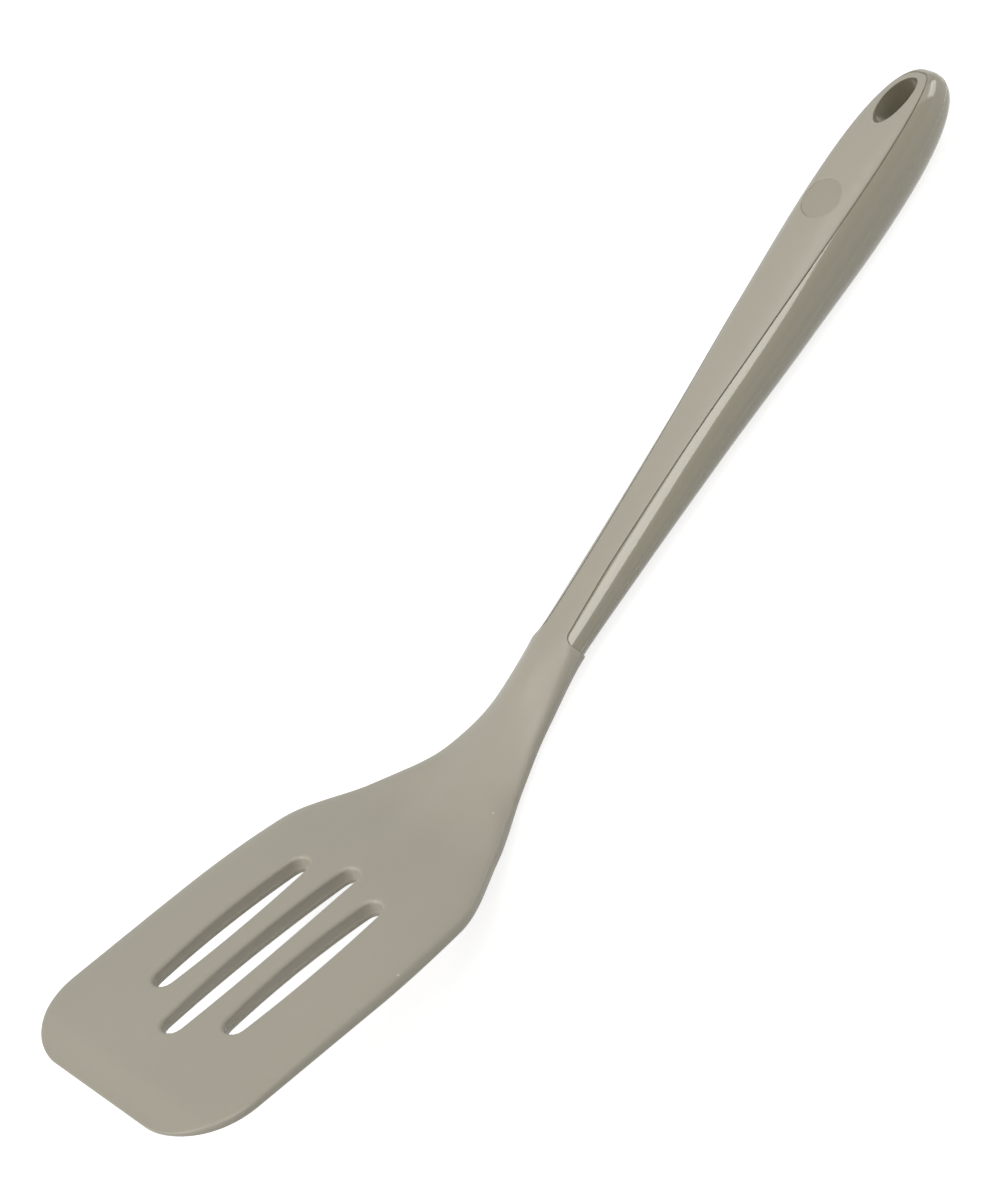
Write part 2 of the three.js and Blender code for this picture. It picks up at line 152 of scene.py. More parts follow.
def round_off(s, start, end, power=END_POWER):
    """Falls from one to nothing between start and end, as a superellipse does."""
    share = np.clip((s - start) / (end - start), 0, 1)
    return (1 - share**power) ** (1 / power)


def ease(value, low, high):
    """A soft step from zero at low to one at high."""
    t = np.clip((value - low) / (high - low), 0, 1)
    return t * t * (3 - 2 * t)


def rise_and_fall(s, rise, fall):
    """Rises from zero to one along one stretch and falls again along another."""
    return ease(s, *rise) * (1 - ease(s, *fall))


grip_run = NECK_END + (GRIP_AT - NECK_END) * np.array([0, 0.18, 0.47, 0.74, 1])
grip_half = profile(*zip(grip_run, (NECK_HALF, 7.75, 8.75, 10.65, 11.35)))
grip_depth = profile(*zip(grip_run, (4.75, 5.5, 7.25, 8.95, 10.7)))
shoulders = profile(
    (SHOULDER_START, BLADE_HALF), (86.5, 35.9), (108, 24.9), (127, 14.4), (144, 9.5), (NECK_END, 7.9)
)
crown = profile((0, 0.2), (10, 1.75), (74, 4.5), (108, 2.9), (144, 4.5), (NECK_END, SLEEVE_HEIGHT))
belly = profile((0, 0.95), (10, 1.35), (88, 1.35), (108, 1.9), (144, 4.3), (NECK_END, SLEEVE_HEIGHT * FLAT))
edge_drop = profile((0, 0), (10, 0.8), (34, 2), (74, 3), (108, 1.8), (144, 0.3), (NECK_END, 0))
print("the handle is", 2 * float(grip_half(GRIP_AT)), "mm wide")

# %% Sections across the spine
FRONT_HALF = 38.1
CORNER_RADIUS = 20.3
LIP_ROUND = 0.8  # the front edge is rounded over this length
OVAL = 2.5  # squareness of the handle's section
RIM_SQUARENESS = 6
SQUARE_RUN = (112, 142)  # the blade's tight rims fade out along this stretch
SOFT_TOP_RUN = (98, 126)  # on top they do so earlier
CROWN_POWER = 0.4  # how late the blade's top falls away towards its sides
NECK_ROUNDING = 0.75  # the top of the neck is rounder than its underside
ROUNDING_RUN = ((104, 126), (157, NECK_END))  # where that comes in and goes again
END_FLAT = 0.86  # towards its end the handle's top is flat, at this share of its height
END_FLAT_RUN = (275, 310)
FLAT_BLEND = 0.12


def blade_half(s):
    """Half the width of the blade and the neck."""
    along = np.maximum(0, s - CORNER_RADIUS) / (SHOULDER_START - CORNER_RADIUS)
    spread = (BLADE_HALF - FRONT_HALF) * along
    corner = np.clip(CORNER_RADIUS - s, 0, CORNER_RADIUS)
    plate = FRONT_HALF + spread - CORNER_RADIUS + np.sqrt(CORNER_RADIUS**2 - corner**2)
    return np.where(s >= SHOULDER_START, shoulders(s), plate)


def rim_power(s):
    """Squareness of the blade's or the neck's section."""
    thickness = crown(s) - edge_drop(s) + belly(s)
    wide = np.maximum(0, blade_half(s) / thickness - 1) * (1 - ease(s, *SQUARE_RUN))
    return OVAL + RIM_SQUARENESS * wide


def blade_heights(s, y, shrink=0.0):
    """Top and underside of the blade and the neck. Shrink draws the section in."""
    share = np.clip(np.abs(y) / (blade_half(s) - shrink), 0, 1)
    rim = np.sqrt(1 - share ** rim_power(s))
    softer = (rim_power(s) - OVAL) * ease(s, *SOFT_TOP_RUN)
    softer = softer + NECK_ROUNDING * rise_and_fall(s, *ROUNDING_RUN)
    top_rim = np.sqrt(1 - share ** (rim_power(s) - softer))
    ridge = edge_drop(s) * (1 - share**2) ** CROWN_POWER
    lip = 1 - np.clip(s / LIP_ROUND, 0, 1)
    front = np.sqrt(1 - lip**2)
    top = (crown(s) - edge_drop(s) - shrink) * top_rim + ridge
    low = (belly(s) - shrink) * np.minimum(1, rim / FLAT)
    return top * front, low * front


def flattened(rim, s):
    """A section's top with a soft flat that grows towards the handle's end."""
    near_end = ease(s, *END_FLAT_RUN)
    level = 1 - (1 - END_FLAT) * near_end
    blend = np.maximum(FLAT_BLEND * near_end, 1e-6)
    mix = np.clip(0.5 + 0.5 * (level - rim) / blend, 0, 1)
    return level * (1 - mix) + rim * mix - blend * mix * (1 - mix)


def grip_heights(s, y):
    """Top and underside of the handle."""
    rounded = round_off(s, GRIP_AT, TOOL_LENGTH)
    share = np.clip(np.abs(y) / np.maximum(grip_half(s) * rounded, 1e-9), 0, 1)
    rim = np.sqrt(1 - share**OVAL)
    height = grip_depth(s) * rounded
    return height * flattened(rim, s), height * np.minimum(FLAT, rim)


def oval_angle(s, y):
    """How far up a section's round side a point lies: 0 at its widest place, 90 at the top."""
    half = np.where(s < NECK_END, blade_half(s), grip_half(s))
    share = np.clip(np.abs(y) / half, 0, 1)
    return np.degrees(np.arccos(share ** (OVAL / 2)))


print("blade half width at the slots", float(blade_half(np.array(50.0))), "mm")

# %% [markdown]
# ## Building closed meshes
# Each piece is collected as a set of small sheets: grids of quads along the edges, where a fillet needs
# tidy rows, and triangle fills for the broad faces in between. All sheets share their border points, so
# merging doubles closes the mesh. A constrained triangulation keeps the slots and the holes open.

# %% Shells and grids
SHARP_ANGLE = math.radians(38)
MERGE = 1e-6  # metres


class Shell:
    """Collects the points and faces of one closed mesh, in the spine's own coordinates."""

    def __init__(self):
        self.points = []
        self.faces = []

    def add(self, points):
        first = len(self.points)
        self.points.extend(points.reshape(-1, 3))
        return first

    def grid(self, points):
        """A sheet of quads over rows and columns of points."""
        rows, columns = points.shape[:2]
        index = self.add(points) + np.arange(rows * columns).reshape(rows, columns)
        corners = (index[:-1, :-1], index[1:, :-1], index[1:, 1:], index[:-1, 1:])
        self.faces.extend(np.stack(corners, -1).reshape(-1, 4).tolist())

    def triangles(self, points, faces):
        self.faces.extend((np.array(faces) + self.add(points)).tolist())

    def build(self, name):
        """Merges the sheets into one object with smooth faces and sharp edges."""
        mesh = bpy.data.meshes.new(name)
        s, y, height = np.array(self.points).T
        mesh.from_pydata(place(s, y, height), [], self.faces)
        work = bmesh.new()
        work.from_mesh(mesh)
        bmesh.ops.remove_doubles(work, verts=work.verts, dist=MERGE)
        bmesh.ops.dissolve_degenerate(work, edges=work.edges, dist=MERGE / 10)
        bmesh.ops.recalc_face_normals(work, faces=work.faces)
        for face in work.faces:
            face.smooth = True
        for edge in work.edges:
            edge.smooth = edge.calc_face_angle(0) < SHARP_ANGLE
        loose = sum(not edge.is_manifold for edge in work.edges)
        work.to_mesh(mesh)
        work.free()
        piece = bpy.data.objects.new(name, mesh)
        bpy.context.collection.objects.link(piece)
        print(name, len(mesh.vertices), "points,", len(mesh.polygons), "faces,", loose, "open edges")
        return piece


def closed(loop):
    """A loop with its first point repeated at its end."""
    return np.concatenate([loop, loop[:1]])


print("sharp edges from", round(math.degrees(SHARP_ANGLE)), "degrees")

# %% Fills
BATCH = 500  # points compared at once
CLEAR = 0.6  # share of the spacing that a fill keeps from its borders
INSIDE = 1  # the triangulation keeps what its borders enclose
TOUCH = 1e-6  # points closer than this are one


def within(points, loop):
    """True for the points inside a closed loop."""
    result = []
    a, b = loop, np.roll(loop, -1, 0)
    rise = np.where(a[:, 1] == b[:, 1], 1, b[:, 1] - a[:, 1])
    for part in np.array_split(points, len(points) // BATCH + 1):
        x, y = part[:, :1], part[:, 1:]
        crosses = (a[:, 1] > y) != (b[:, 1] > y)
        at = a[:, 0] + (y - a[:, 1]) * (b[:, 0] - a[:, 0]) / rise
        result.append(np.sum(crosses & (x < at), 1) % 2 == 1)
    return np.concatenate(result)


def hex_grid(loops, spacing):
    """Evenly spread points inside the first loop, clear of all loops."""
    border = np.concatenate(loops)
    low, high = border.min(0), border.max(0)
    rows = np.arange(low[1], high[1], spacing * math.sqrt(0.75))
    columns = np.arange(low[0], high[0], spacing)
    points = [(x + spacing / 2 * (i % 2), y) for i, y in enumerate(rows) for x in columns]
    points = np.array(points)
    keep = within(points, loops[0])
    for loop in loops[1:]:
        keep &= ~within(points, loop)
    points = points[keep]
    clear = []
    for part in np.array_split(points, len(points) // BATCH + 1):
        gaps = np.linalg.norm(part[:, None] - border[None], axis=-1)
        clear.append(gaps.min(1) > CLEAR * spacing)
    return points[np.concatenate(clear)]


def fill(loops, spacing=None):
    """Points and triangles inside the first loop, with the other loops left open."""
    inner = hex_grid(loops, spacing) if spacing else np.zeros((0, 2))
    points = np.concatenate([*loops, inner])
    label = np.concatenate([np.full(len(loop), i) for i, loop in enumerate(loops)])
    label = np.concatenate([label, np.full(len(inner), -1)])
    edges = []
    first = 0
    for loop in loops:
        index = first + np.arange(len(loop))
        edges.extend(zip(index.tolist(), np.roll(index, -1).tolist()))
        first += len(loop)
    flat = [Vector(point) for point in points]
    _, _, faces, sources, _, _ = delaunay_2d_cdt(flat, edges, [], INSIDE, TOUCH)
    kept = []
    for face in faces:
        corners = [sources[i][0] for i in face]
        owners = {int(label[i]) for i in corners}
        if len(owners) > 1 or owners <= {0, -1}:
            kept.append(corners)
    return points, kept


square = np.array([(0, 0), (9, 0), (9, 9), (0, 9)], float)
print("a fill of a square has", len(fill([square], 3)[1]), "triangles")

# %% [markdown]
# ## The silicone skin
# Blade, neck and both grip panels are one moulding, so they are one mesh.
# Rows of quads run round the rim, denser where the rim is tight. A second set of rows runs round the
# panels, with a small fillet that drops into the groove. The broad faces are filled between them. The
# front end of the groove is the rounded corner where the glossy side of the handle begins.

# %% Rows along the rim
RIM_ROWS = 8
RIM_SPACING = 1.3
RIM_LEAD = 0.7  # from the last row of the slope to the next one
SIDE_COUNT, CORNER_COUNT, FRONT_COUNT = 28, 22, 14  # stations along the blade's side, corner and front
RIM_ANGLE = 84  # degrees of the blade's section that the rows cover
RIM_ANGLE_RUN = (95, 140)  # they cover less towards the neck
EDGE_ROUND = 0.3  # fillet of the sleeve's end
SLEEVE_SLOPE = 0.42  # on top the sleeve slopes down to the handle over its last stretch
SLOPE_LENGTH = 2.4
SLOPE_STEPS = np.linspace(1.2, SLOPE_LENGTH, 4)
SLOPE_SHARE = 0.6  # the slope comes in over this share of the rows
SEAM_LINE = 0.14  # a fine moulding seam along the sleeve's sides
SEAM_RUN = (150, 157)
EDGE_STEPS = np.array([0, 0.03, 0.1, 0.2, 0.35, 0.8])
CORNER_FOOT = 35  # degrees up the side where the groove's rounded corner starts


def fillet(distance, radius):
    """How far a round edge drops at a distance from it."""
    inward = np.clip(1 - distance / radius, 0, 1)
    return radius * (1 - np.sqrt(1 - inward**2))


def up_the_rim(s):
    """How many degrees of the section the rows along the rim cover."""
    return RIM_ANGLE + (CORNER_FOOT - RIM_ANGLE) * ease(s, *RIM_ANGLE_RUN)


def slope_down(s):
    """How far the sleeve's top has come down to the handle."""
    return SLEEVE_SLOPE * ease(s, NECK_END - SLOPE_LENGTH, NECK_END)


def rim_rows(up):
    """Stations along the tool's outline, from the neck's left side round the front to its right side."""
    near_end = NECK_END - np.concatenate([EDGE_STEPS, SLOPE_STEPS])
    behind = np.arange(NECK_END - SLOPE_LENGTH - RIM_LEAD, SHOULDER_START, -RIM_SPACING)
    beside = np.linspace(SHOULDER_START, CORNER_RADIUS, SIDE_COUNT)
    along = np.concatenate([near_end, behind, beside])
    step = np.linspace(0, 1, RIM_ROWS + 1)
    shrink = fillet(NECK_END - along, EDGE_ROUND)[:, None] * np.ones_like(step)
    if up:
        sloped = np.maximum(slope_down(along)[:, None] - shrink, 0)
        shrink = shrink + sloped * ease(step, 0, SLOPE_SHARE)
    angle = np.radians(up_the_rim(along)[:, None] * step)
    share = np.cos(angle) ** (2 / rim_power(along)[:, None])
    side_y = (blade_half(along)[:, None] - shrink) * share
    side_y[:, 0] += SEAM_LINE * ease(along, *SEAM_RUN)
    side = np.stack([np.broadcast_to(along[:, None], side_y.shape), side_y], -1)
    inset = side_y[-1, 0] - side_y[-1]
    turn = np.radians(np.linspace(0, 90, CORNER_COUNT)[1:])[:, None]
    reach = CORNER_RADIUS - inset
    flat_half = FRONT_HALF - CORNER_RADIUS
    corner = np.stack([CORNER_RADIUS - reach * np.sin(turn), flat_half + reach * np.cos(turn)], -1)
    across = np.linspace(flat_half, 0, FRONT_COUNT)[1:, None]
    front = np.stack(np.broadcast_arrays(inset, across), -1)
    left = np.concatenate([side, corner, front])
    right = left[-2::-1] * (1, -1)
    drawn = np.zeros((len(left) + len(right), RIM_ROWS + 1))
    drawn[: len(shrink)] = shrink
    drawn[-len(shrink) :] = shrink[::-1]
    return np.concatenate([left, right]), drawn


print("rim stations:", len(rim_rows(True)[0]))

# %% Rows along the panels
PANEL_STRAIGHT = 296
PANEL_TIP = 332
PANEL_POWER = 2.45  # squareness of the tip
PANEL_SPACING = 1.4
BEND_COUNT, NOSE_COUNT = 13, 36  # stations round the corner by the neck and round the tip
CORNER_LENGTH = 2.4
CORNER_BLEND = (0, 1.5)  # radians of the corner over which it passes from the neck's width to the handle's
panel_line = profile(
    (165.4, 4.28), (172, 4.05), (185, 3.82), (200, 4.1), (225, 4.95), (255, 6.75), (PANEL_STRAIGHT, 8.5)
)


def panel_path(start, foot, grow, tip):
    """The edge of a panel from the rounded corner at the neck to the panel's tip. Grow widens it."""
    turn = np.radians(np.linspace(0, 90, BEND_COUNT))
    meet = start + CORNER_LENGTH
    high = oval_angle(meet, panel_line(meet) + grow)
    s = start + CORNER_LENGTH * (1 - np.cos(turn))
    angle = np.radians(CORNER_FOOT + (high - CORNER_FOOT) * np.sin(turn))
    lean = np.cos(angle) ** (2 / OVAL)
    half = foot / math.cos(math.radians(CORNER_FOOT)) ** (2 / OVAL)
    y = lean * (half + (grip_half(s) - half) * ease(turn, *CORNER_BLEND))
    straight = np.arange(meet + CORNER_LENGTH / 2, PANEL_STRAIGHT, PANEL_SPACING)
    swing = np.sin(np.linspace(0, math.pi / 2, NOSE_COUNT))
    s = np.concatenate([s, straight, PANEL_STRAIGHT + (tip - PANEL_STRAIGHT) * swing])
    rounded = panel_line(straight) + grow
    nose = s[-NOSE_COUNT:]
    end = (panel_line(PANEL_STRAIGHT) + grow) * round_off(nose, PANEL_STRAIGHT, tip, PANEL_POWER)
    return np.stack([s, np.concatenate([y, rounded, end])], -1)


def mirrored(path):
    """A path on the left side, carried on down the right side."""
    return np.concatenate([path, path[-2::-1] * (1, -1)])


def normals(path):
    """Unit normals of an open path, to its right."""
    along = np.gradient(path, axis=0)
    along = along / np.linalg.norm(along, axis=1, keepdims=True)
    return np.stack([along[:, 1], -along[:, 0]], -1)


print("panel stations:", len(panel_path(NECK_END, NECK_HALF, 0, PANEL_TIP)))

# %% [markdown]
# ## Slots, hanging hole and the round mark
# Three slots let fat run off the blade. Their upper edges are generously rounded, so the skin needs
# fine rows round each of them. The hanging hole is an ellipse, and the round mark on the grip is a
# shallow dish.

# %% Openings in the skin
SLOT_RADIUS = 3
SLOT_SWELL = 4.1  # half its width half way along
SLOTS = ((83.8, 62.2, 0), (79.3, 49.2, 14.7), (79.3, 49.2, -14.7))  # rear end, length, side
SLOT_ROUND = 1.1  # fillet of its edges
SLOT_STEPS = np.array([0, 0.03, 0.12, 0.27, 0.48, 0.75, 1.1, 1.6])
HOLE_AT = 322.1
HOLE_HALF = (7.8, 3.9)
HOLE_ROUND = 0.1
HOLE_COUNT = 72
HOLE_STEPS = np.array([0, 0.01, 0.04, 0.1, 0.3, 0.6])
MARK_AT = 290.5
MARK_RADIUS = 5.8
MARK_DEPTH = 0.35
MARK_COUNT = 64
MARK_STEPS = np.array([-0.5, -0.12, -0.08, -0.02, 0.03, 0.08, 0.5])


def slot_loop(rear, length, side, margin=0.0, arc=9, run=30):
    """The closed outline of a slot that swells a little half way along."""
    radius = SLOT_RADIUS + margin
    swell = SLOT_SWELL + margin
    reach = length / 2 + margin - radius
    middle = rear - length / 2
    lean = math.atan(2 * (swell - radius) / reach)
    quarter = math.pi / 2 - lean
    turn = np.linspace(-quarter, quarter, arc)
    rear_end = np.stack([middle + reach + radius * np.cos(turn), radius * np.sin(turn)], -1)
    t = np.linspace(0, 1, run)[1:-1, None]
    start, stop = rear_end[-1], np.array([2 * middle, 0]) + rear_end[-1] * (-1, 1)
    pull = np.array([middle, 2 * swell - rear_end[-1, 1]])
    left = (1 - t) ** 2 * start + 2 * t * (1 - t) * pull + t**2 * stop
    half = np.concatenate([rear_end, left])
    other = np.array([2 * middle, 0]) - half
    return np.concatenate([half, other]) + (0, side)


def oval_loop(at, half, count):
    """An ellipse round a place on the spine."""
    turn = np.linspace(0, 2 * math.pi, count, endpoint=False)
    return np.stack([at + half[0] * np.cos(turn), half[1] * np.sin(turn)], -1)


def widened(loop, steps):
    """Copies of a closed loop, moved outwards by each step: rows of points, columns of steps."""
    along = np.roll(loop, -1, 0) - np.roll(loop, 1, 0)
    along = along / np.linalg.norm(along, axis=1, keepdims=True)
    outward = np.stack([along[:, 1], -along[:, 0]], -1)
    return loop[:, None] + outward[:, None] * np.asarray(steps)[None, :, None]


slots = [widened(slot_loop(*slot), SLOT_STEPS) for slot in SLOTS]
hole = widened(oval_loop(HOLE_AT, HOLE_HALF, HOLE_COUNT), HOLE_STEPS)
mark = widened(oval_loop(MARK_AT, (MARK_RADIUS, MARK_RADIUS), MARK_COUNT), MARK_STEPS)
print("slot points:", [len(slot) for slot in slots])

# %% [markdown]
# ## Heights of the skin
# On top, the neck carries a soft ridge with a shallow valley on each side, which fades out into the
# blade. The sleeve stands half a millimetre proud of the glossy sides, but on the top and the underside
# the skin runs on into the panels with no step, so the proud part fades there.

# %% The skin's own surface
FLUSH_RUN = (150, NECK_END)  # the proud sleeve fades towards the panels along this stretch
FLUSH_ANGLES = (CORNER_FOOT + 3, 57)  # and over these degrees of its section
HANDLE_RUN = (NECK_END + 1, NECK_END + 3.5)  # behind this the skin is flush with the handle
RIDGE, RIDGE_WIDTH = 0.6, 4.2
RIDGE_RUN = ((96, 116), (122, 152))
VALLEY, VALLEY_WIDTH, VALLEY_AT = 0.4, 4, 9.5
VALLEY_RUN = ((92, 106), (112, 132))


def skin_height(s, y, up, shrink=None):
    """Signed height of the skin's outer face: the top if up, else the underside."""
    side = 0 if up else 1
    if shrink is None:
        shrink = slope_down(np.minimum(s, NECK_END)) if up else 0
    neck = blade_heights(np.minimum(s, NECK_END), y, shrink)[side]
    grip = grip_heights(np.maximum(s, NECK_END), y)[side]
    angle = oval_angle(s, y)
    flush = ease(s, *FLUSH_RUN) * ease(angle, *FLUSH_ANGLES)
    flush = np.maximum(flush, ease(s, *HANDLE_RUN))
    height = neck + (grip - neck) * flush
    if up:
        ridge = np.exp(-((y / RIDGE_WIDTH) ** 2))
        valley = np.exp(-(((np.abs(y) - VALLEY_AT) / VALLEY_WIDTH) ** 2))
        height = height + RIDGE * rise_and_fall(s, *RIDGE_RUN) * ridge
        height = height - VALLEY * rise_and_fall(s, *VALLEY_RUN) * valley
    return height if up else -height


def lifted(path, up, drop=0.0):
    """Adds the skin's height to points along and beside the spine."""
    s, y = path[..., 0], path[..., 1]
    sign = 1 if up else -1
    return np.stack([s, y, skin_height(s, y, up) - sign * drop], -1)


middle = skin_height(np.array([110.0, 140, 200]), np.zeros(3), True)
print("top of the skin at the throat, the neck and the handle:", np.round(middle, 2), "mm")

# %% Both faces of the skin
PANEL_ROUND = 0.12  # fillet of the panels' edges
PANEL_DEPTH = 0.5  # how far the panels' edges are let in
TIP_THINNING = 0.3  # less so at their tips
TIP_RUN = (316, 330)
NECK_THINNING = 0.22  # and by the neck
NECK_RUN = (200, 260)
MARK_FLATTENED = 0.3  # the mark's floor is less arched than the panel
MARK_WALL = (-0.08, 0.06)
SKIN_SPACING, MARK_SPACING, BED_SPACING = 1.3, 1.4, 2.2
BED_COUNT = 11  # points across a bed's front


def panel_depth(s):
    """Depth of a panel's edge below the surface."""
    by_neck = NECK_THINNING * (1 - ease(s, *NECK_RUN))
    return PANEL_DEPTH - TIP_THINNING * ease(s, *TIP_RUN) - by_neck


def dished(points, depth):
    """The mark's surface: sunk by a depth, and less arched the deeper it lies."""
    flat = skin_height(points[..., 0], 0 * points[..., 1], True)
    sunk = lifted(points, True, depth)
    share = MARK_FLATTENED * depth / MARK_DEPTH
    sunk[..., 2] += share * (flat - depth - sunk[..., 2])
    return sunk


def bed(shell, foot, at, surface):
    """The face under a panel, inside the foot of its edge. Gives back its front line."""
    across = np.linspace(foot[-1, 1], foot[0, 1], BED_COUNT)[1:-1]
    front = np.stack([np.full_like(across, at), across], -1)
    points, faces = fill([np.concatenate([foot[:, :2], front]), hole[:, 0]], BED_SPACING)
    shell.triangles(surface(points), faces)
    return surface(front)


def skin_face(shell, up):
    """One outer face of the skin, with its rim, panel edge, openings and inner panel face."""
    steps = len(EDGE_STEPS)
    rim, shrink = rim_rows(up)
    rim_height = skin_height(rim[..., 0], rim[..., 1], up, shrink)
    rim_height[:, 0] = 0
    sides = np.concatenate([rim, rim_height[..., None]], -1)
    shell.grid(sides)

    path = mirrored(panel_path(NECK_END, sides[0, -1, 1], 0, PANEL_TIP))
    rows = path[:, None] + normals(path)[:, None] * EDGE_STEPS[None, :, None]
    edge = lifted(rows, up, fillet(EDGE_STEPS, PANEL_ROUND))
    edge[0] = sides[:steps, -1]
    edge[-1] = sides[-steps:, -1][::-1]
    shell.grid(edge)

    loops = [np.concatenate([sides[steps - 1 : 1 - steps, -1], edge[-2:0:-1, -1]])[:, :2]]
    for ring in slots:
        shell.grid(lifted(closed(ring), up, fillet(SLOT_STEPS, SLOT_ROUND)))
        loops.append(ring[:, -1])
    shell.grid(lifted(closed(hole), up, fillet(HOLE_STEPS, HOLE_ROUND)))
    loops.append(hole[:, -1])
    if up:
        shell.grid(dished(closed(mark), MARK_DEPTH * (1 - ease(MARK_STEPS, *MARK_WALL))))
        loops.append(mark[:, -1])
        points, faces = fill([mark[:, 0]], MARK_SPACING)
        shell.triangles(dished(points, MARK_DEPTH), faces)
    points, faces = fill(loops, SKIN_SPACING)
    shell.triangles(lifted(points, up), faces)

    def inner(path):
        return lifted(path, up, panel_depth(path[:, 0]))

    foot = inner(edge[:, 0, :2])
    shell.grid(np.stack([edge[:, 0], foot], 1))
    shell.grid(closed(np.stack([lifted(hole[:, 0], up, HOLE_ROUND), inner(hole[:, 0])], 1)))
    return sides, foot, bed(shell, foot, NECK_END, inner)


skin = Shell()
skin_top = skin_face(skin, True)
skin_low = skin_face(skin, False)
print("skin faces so far:", len(skin.faces))

# %% Slot walls and the end of the sleeve
WALL_ROWS = 5
FLASH_LINE = 0.12  # a thin ridge low on the slots' walls
FLASH_TOP, FLASH_AT, FLASH_FOOT = 0.75, 0.55, 0.35  # heights above the wall's foot


def close_end(shell, at, top, low):
    """Closes the flat end where the upper and the lower face of a shell meet."""
    (top_side, top_foot, top_front), (low_side, low_foot, low_front) = top, low
    loop = np.concatenate([
        top_foot[:1], top_front[::-1], top_foot[-1:], top_side[-1, ::-1], low_side[-1, 1:],
        low_foot[-1:], low_front, low_foot[:1], low_side[0, ::-1], top_side[0, 1:],
    ])
    points, faces = fill([loop[:, 1:]])
    shell.triangles(np.column_stack([np.full(len(points), at), points]), faces)


for ring in slots:
    upper = lifted(ring[:, 0], True, SLOT_ROUND)
    lower = lifted(ring[:, 0], False, SLOT_ROUND)
    outward = ring[:, 1] - ring[:, 0]
    outward = outward / np.linalg.norm(outward, axis=1, keepdims=True)
    rows = []
    for share in np.linspace(0, 1, WALL_ROWS):
        rows.append(upper + (lower + (0, 0, FLASH_TOP) - upper) * share)
    for rise, out in ((FLASH_AT, FLASH_LINE), (FLASH_FOOT, 0), (0, 0)):
        row = lower + (0, 0, rise)
        row[:, :2] -= out * outward
        rows.append(row)
    skin.grid(closed(np.stack(rows, 1)))

close_end(skin, NECK_END, skin_top, skin_low)
skin_piece = skin.build("silicone_skin")

# %% [markdown]
# ## The glossy handle
# The nylon shows as two bright sides and a rounded end, with a fine parting line at the widest place.
# Each side is a band between that line and the groove, so its rows can follow both: they start at the
# rounded corner by the neck, run along the handle and fan out round the end. Under the panels lies a
# floor that only the groove shows.

# %% Sides, groove and end of the handle
GROOVE = 0.26  # its width
SIDE_GAP = 0.05  # between the sleeve's end and the glossy sides
HANDLE_START = NECK_END + SIDE_GAP
GROOVE_ROUND = 0.12  # fillet of its outer edge
GROOVE_STEPS = np.array([0.12, 0.07, 0.03, 0])
BED_GAP = 0.05  # between a panel and its bed
PARTING_LINE = 0.11  # height of the fine line where the mould parts
BAND_STEPS = np.concatenate([[0, 0.02, 0.045, 0.09], np.linspace(0.14, 1, 20)])
BAND_POWER = 2.2  # crowds the rows towards the parting line
PARTING_STEPS = PARTING_LINE * np.array([1, 0.45, 0])
HOLE_ROWS = 7


def gripped(path, up, drop=0.0):
    """Adds the handle's own height to points along and beside the spine."""
    s, y = path[..., 0], path[..., 1]
    sign = 1 if up else -1
    height = grip_heights(s, y)[0 if up else 1]
    return np.stack([s, y, sign * (height - drop)], -1)


def bedded(path, up):
    """The floor under a panel."""
    return gripped(path, up, panel_depth(path[:, 0]) + BED_GAP)


def handle_outline(groove):
    """The handle's widest line, one point for each point of the groove."""
    s = groove[:, 0].copy()
    nose = s[-NOSE_COUNT:] - PANEL_STRAIGHT
    s[-NOSE_COUNT:] = PANEL_STRAIGHT + nose / nose[-1] * (TOOL_LENGTH - PANEL_STRAIGHT)
    return np.stack([s, grip_half(s) * round_off(s, GRIP_AT, TOOL_LENGTH)], -1)


def handle_face(shell, up):
    """The upper or the lower half of the glossy handle."""
    foot_y = NECK_HALF * math.cos(math.radians(CORNER_FOOT)) ** (2 / OVAL)
    groove = panel_path(HANDLE_START, foot_y, GROOVE, PANEL_TIP + GROOVE)
    outline = handle_outline(groove)
    across = groove - outline
    length = np.linalg.norm(across, axis=1, keepdims=True)
    across = across / length
    reach = (length - GROOVE_ROUND) * BAND_STEPS**BAND_POWER
    band = outline[:, None] + across[:, None] * reach[..., None]
    edge = groove[:, None] - across[:, None] * GROOVE_STEPS[None, :, None]
    flat = np.concatenate([band, edge], 1)
    drop = np.concatenate([np.zeros(len(BAND_STEPS)), fillet(GROOVE_STEPS, GROOVE_ROUND)])
    side = gripped(flat, up, drop)
    side[:, 0, 2] = 0
    side[:, : len(PARTING_STEPS), :2] -= across[:, None] * PARTING_STEPS[None, :, None]
    side = np.concatenate([side, side[-2::-1] * (1, -1, 1)])
    shell.grid(side)
    foot = bedded(side[:, -1, :2], up)
    shell.grid(np.stack([side[:, -1], foot], 1))
    return side, foot, bed(shell, foot, HANDLE_START, lambda path: bedded(path, up))


handle = Shell()
handle_top = handle_face(handle, True)
handle_low = handle_face(handle, False)
upper, lower = bedded(hole[:, 0], True), bedded(hole[:, 0], False)
hole_wall = [upper + (lower - upper) * share for share in np.linspace(0, 1, HOLE_ROWS)]
handle.grid(closed(np.stack(hole_wall, 1)))
close_end(handle, HANDLE_START, handle_top, handle_low)
handle_piece = handle.build("glossy_handle")

# %% [markdown]
# ## The plate inside the blade
# The nylon runs on into the blade as a thin slotted plate, with a plain tongue across the strip that
# bends. Both are out of sight. They are drawn as fine sheets, not as two stiff blocks.

# %% Stiffening plate and tongue
PLATE_HALF = 0.55  # half its thickness
PLATE_START = 16
PLATE_RIM = 8  # from the blade's rim
SLOT_WALL = 1.8  # from the slots
FLEX_STRIP = (88, 100)  # the strip that bends
STRIP_GAP = 0.15
SIDE_POINTS, END_POINTS = 50, 30
PLATE_SPACING = 2.5


